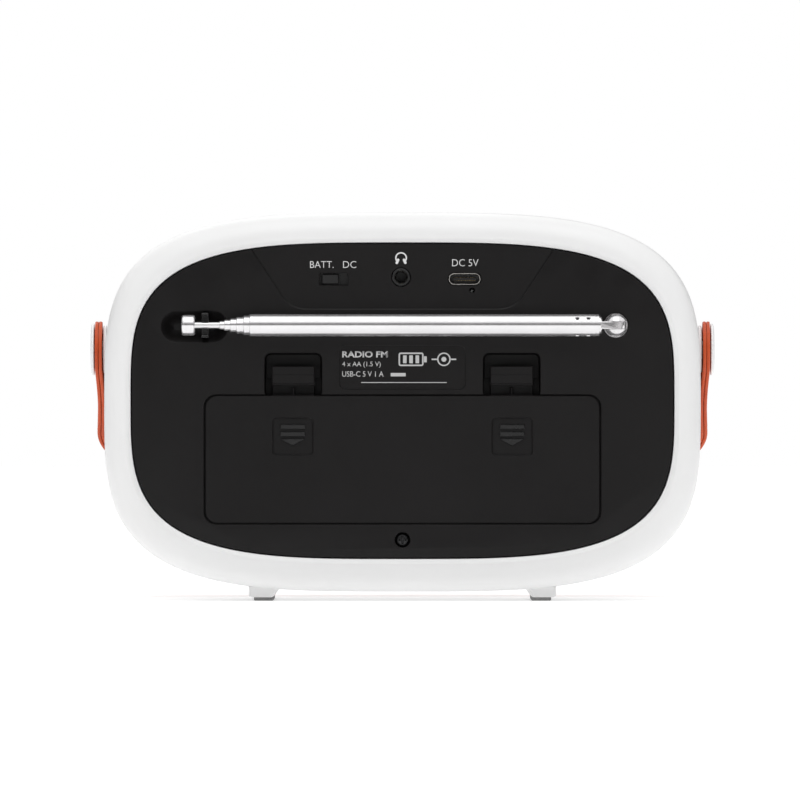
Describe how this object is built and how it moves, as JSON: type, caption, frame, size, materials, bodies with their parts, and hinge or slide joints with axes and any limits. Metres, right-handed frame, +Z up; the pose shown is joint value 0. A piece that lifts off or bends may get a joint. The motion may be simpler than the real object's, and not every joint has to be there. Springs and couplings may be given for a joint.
{
  "type": "tabletop radio",
  "caption": "Rounded portable radio with a leather carrying strap, a swivelling telescopic antenna, a rear battery compartment, and front speaker, display, knobs and buttons.",
  "frame": {"origin": "on the table, under the middle of the full box, strap and antenna included", "axes": "+Z up, +X to the right of someone facing the front, front towards -Y, rear panel towards +Y"},
  "size_m": [0.1766, 0.1012, 0.109],
  "materials": {
    "white_plastic": "satin white moulded",
    "black_plastic": "fine matt texture",
    "leather": "smooth orange, stitched, two layers",
    "rubber": "grey matt",
    "chrome": "polished",
    "steel": "plated",
    "clear": "smoked clear",
    "board": "solder mask",
    "paper": "pressed pulp",
    "module": "moulded frame",
    "battery": "printed sleeve"
  },
  "bodies": {
    "cabinet": {"housing": "white_plastic", "strap_boss_left": "white_plastic", "strap_boss_right": "white_plastic", "strap_stud_left": "white_plastic", "strap_stud_right": "white_plastic", "foot_left": "white_plastic", "foot_right": "white_plastic", "rear_panel": "black_plastic", "front_panel": "black_plastic", "speaker_grille": "black_plastic", "usb_c_tongue": "black_plastic", "headphone_socket": "black_plastic", "antenna_clip": "black_plastic", "foot_pad_left": "rubber", "foot_pad_right": "rubber", "rear_panel_screw": "steel", "speaker_basket": "steel", "speaker_magnet": "steel", "tuning_encoder": "steel", "volume_control": "steel", "usb_c_shell": "steel", "power_switch_housing": "steel", "battery_bridge": "steel", "battery_terminal_lower": "steel", "battery_terminal_upper": "steel", "display_window": "clear", "status_led": "clear", "main_board": "board", "jack_board": "board", "speaker_cone": "paper", "display_module": "module", "battery_cell_1": "battery", "battery_cell_2": "battery", "battery_cell_3": "battery", "battery_cell_4": "battery"},
    "power_slider": {"power_slider": "black_plastic"},
    "strap": {"strap": "leather"},
    "battery_door": {"battery_door": "black_plastic"},
    "latch_left": {"latch_left": "black_plastic"},
    "latch_right": {"latch_right": "black_plastic"},
    "antenna_swivel": {"antenna_fork": "chrome", "antenna_pivot_pin": "steel"},
    "antenna_arm": {"antenna_knuckle": "chrome", "antenna_tube_1": "chrome"},
    "antenna_section_2": {"antenna_tube_2": "chrome"},
    "antenna_section_3": {"antenna_tube_3": "chrome"},
    "antenna_section_4": {"antenna_tube_4": "chrome"},
    "antenna_section_5": {"antenna_tube_5": "chrome"},
    "antenna_section_6": {"antenna_tube_6": "chrome"},
    "antenna_rod": {"antenna_rod": "chrome", "antenna_tip": "chrome"},
    "tuning_knob": {"tuning_knob": "black_plastic"},
    "volume_knob": {"volume_knob": "black_plastic"},
    "button_1": {"button_1": "white_plastic"},
    "button_2": {"button_2": "white_plastic"},
    "button_3": {"button_3": "white_plastic"},
    "button_4": {"button_4": "white_plastic"}
  },
  "joints": [
    {"name": "power_switch_slide", "type": "slide", "parent": "cabinet", "child": "power_slider", "axis": [-1, 0, 0], "range_m": [0, 0.0024]},
    {"name": "strap_swing", "type": "hinge", "parent": "cabinet", "child": "strap", "pos_m": [0, 0.00996, 0.0707], "axis": [-1, 0, 0], "range_deg": [0, 236]},
    {"name": "battery_door_hinge", "type": "hinge", "parent": "cabinet", "child": "battery_door", "pos_m": [0, 0.04296, 0.0219], "axis": [-1, 0, 0], "range_deg": [0, 100]},
    {"name": "latch_left_flex", "type": "hinge", "parent": "battery_door", "child": "latch_left", "pos_m": [-0.0306, 0.03816, 0.061], "axis": [-1, 0, 0], "range_deg": [0, 8], "stiffness_Nm_per_rad": 0.05},
    {"name": "latch_right_flex", "type": "hinge", "parent": "battery_door", "child": "latch_right", "pos_m": [0.0306, 0.03816, 0.061], "axis": [-1, 0, 0], "range_deg": [0, 8], "stiffness_Nm_per_rad": 0.05},
    {"name": "antenna_swivel_turn", "type": "hinge", "parent": "cabinet", "child": "antenna_swivel", "pos_m": [-0.0598, 0.04746, 0.0773], "axis": [0, -1, 0], "range_deg": [0, 180]},
    {"name": "antenna_tilt", "type": "hinge", "parent": "antenna_swivel", "child": "antenna_arm", "pos_m": [-0.0598, 0.04746, 0.0773], "axis": [0, 0, 1], "range_deg": [0, 95]},
    {"name": "antenna_pull_1", "type": "slide", "parent": "antenna_arm", "child": "antenna_section_2", "axis": [1, 0, 0], "range_m": [0, 0.082]},
    {"name": "antenna_pull_2", "type": "slide", "parent": "antenna_section_2", "child": "antenna_section_3", "axis": [1, 0, 0], "range_m": [0, 0.082]},
    {"name": "antenna_pull_3", "type": "slide", "parent": "antenna_section_3", "child": "antenna_section_4", "axis": [1, 0, 0], "range_m": [0, 0.082]},
    {"name": "antenna_pull_4", "type": "slide", "parent": "antenna_section_4", "child": "antenna_section_5", "axis": [1, 0, 0], "range_m": [0, 0.082]},
    {"name": "antenna_pull_5", "type": "slide", "parent": "antenna_section_5", "child": "antenna_section_6", "axis": [1, 0, 0], "range_m": [0, 0.082]},
    {"name": "antenna_pull_6", "type": "slide", "parent": "antenna_section_6", "child": "antenna_rod", "axis": [1, 0, 0], "range_m": [0, 0.082]},
    {"name": "tuning_turn", "type": "hinge", "parent": "cabinet", "child": "tuning_knob", "pos_m": [0.047, -0.01104, 0.038], "axis": [0, 1, 0], "continuous": true},
    {"name": "volume_turn", "type": "hinge", "parent": "cabinet", "child": "volume_knob", "pos_m": [0.015, -0.01104, 0.036], "axis": [0, 1, 0], "range_deg": [0, 300]},
    {"name": "button_1_press", "type": "slide", "parent": "cabinet", "child": "button_1", "axis": [0, 1, 0], "range_m": [0, 0.001], "stiffness_N_per_m": 1000},
    {"name": "button_2_press", "type": "slide", "parent": "cabinet", "child": "button_2", "axis": [0, 1, 0], "range_m": [0, 0.001], "stiffness_N_per_m": 1000},
    {"name": "button_3_press", "type": "slide", "parent": "cabinet", "child": "button_3", "axis": [0, 1, 0], "range_m": [0, 0.001], "stiffness_N_per_m": 1000},
    {"name": "button_4_press", "type": "slide", "parent": "cabinet", "child": "button_4", "axis": [0, 1, 0], "range_m": [0, 0.001], "stiffness_N_per_m": 1000}
  ]
}
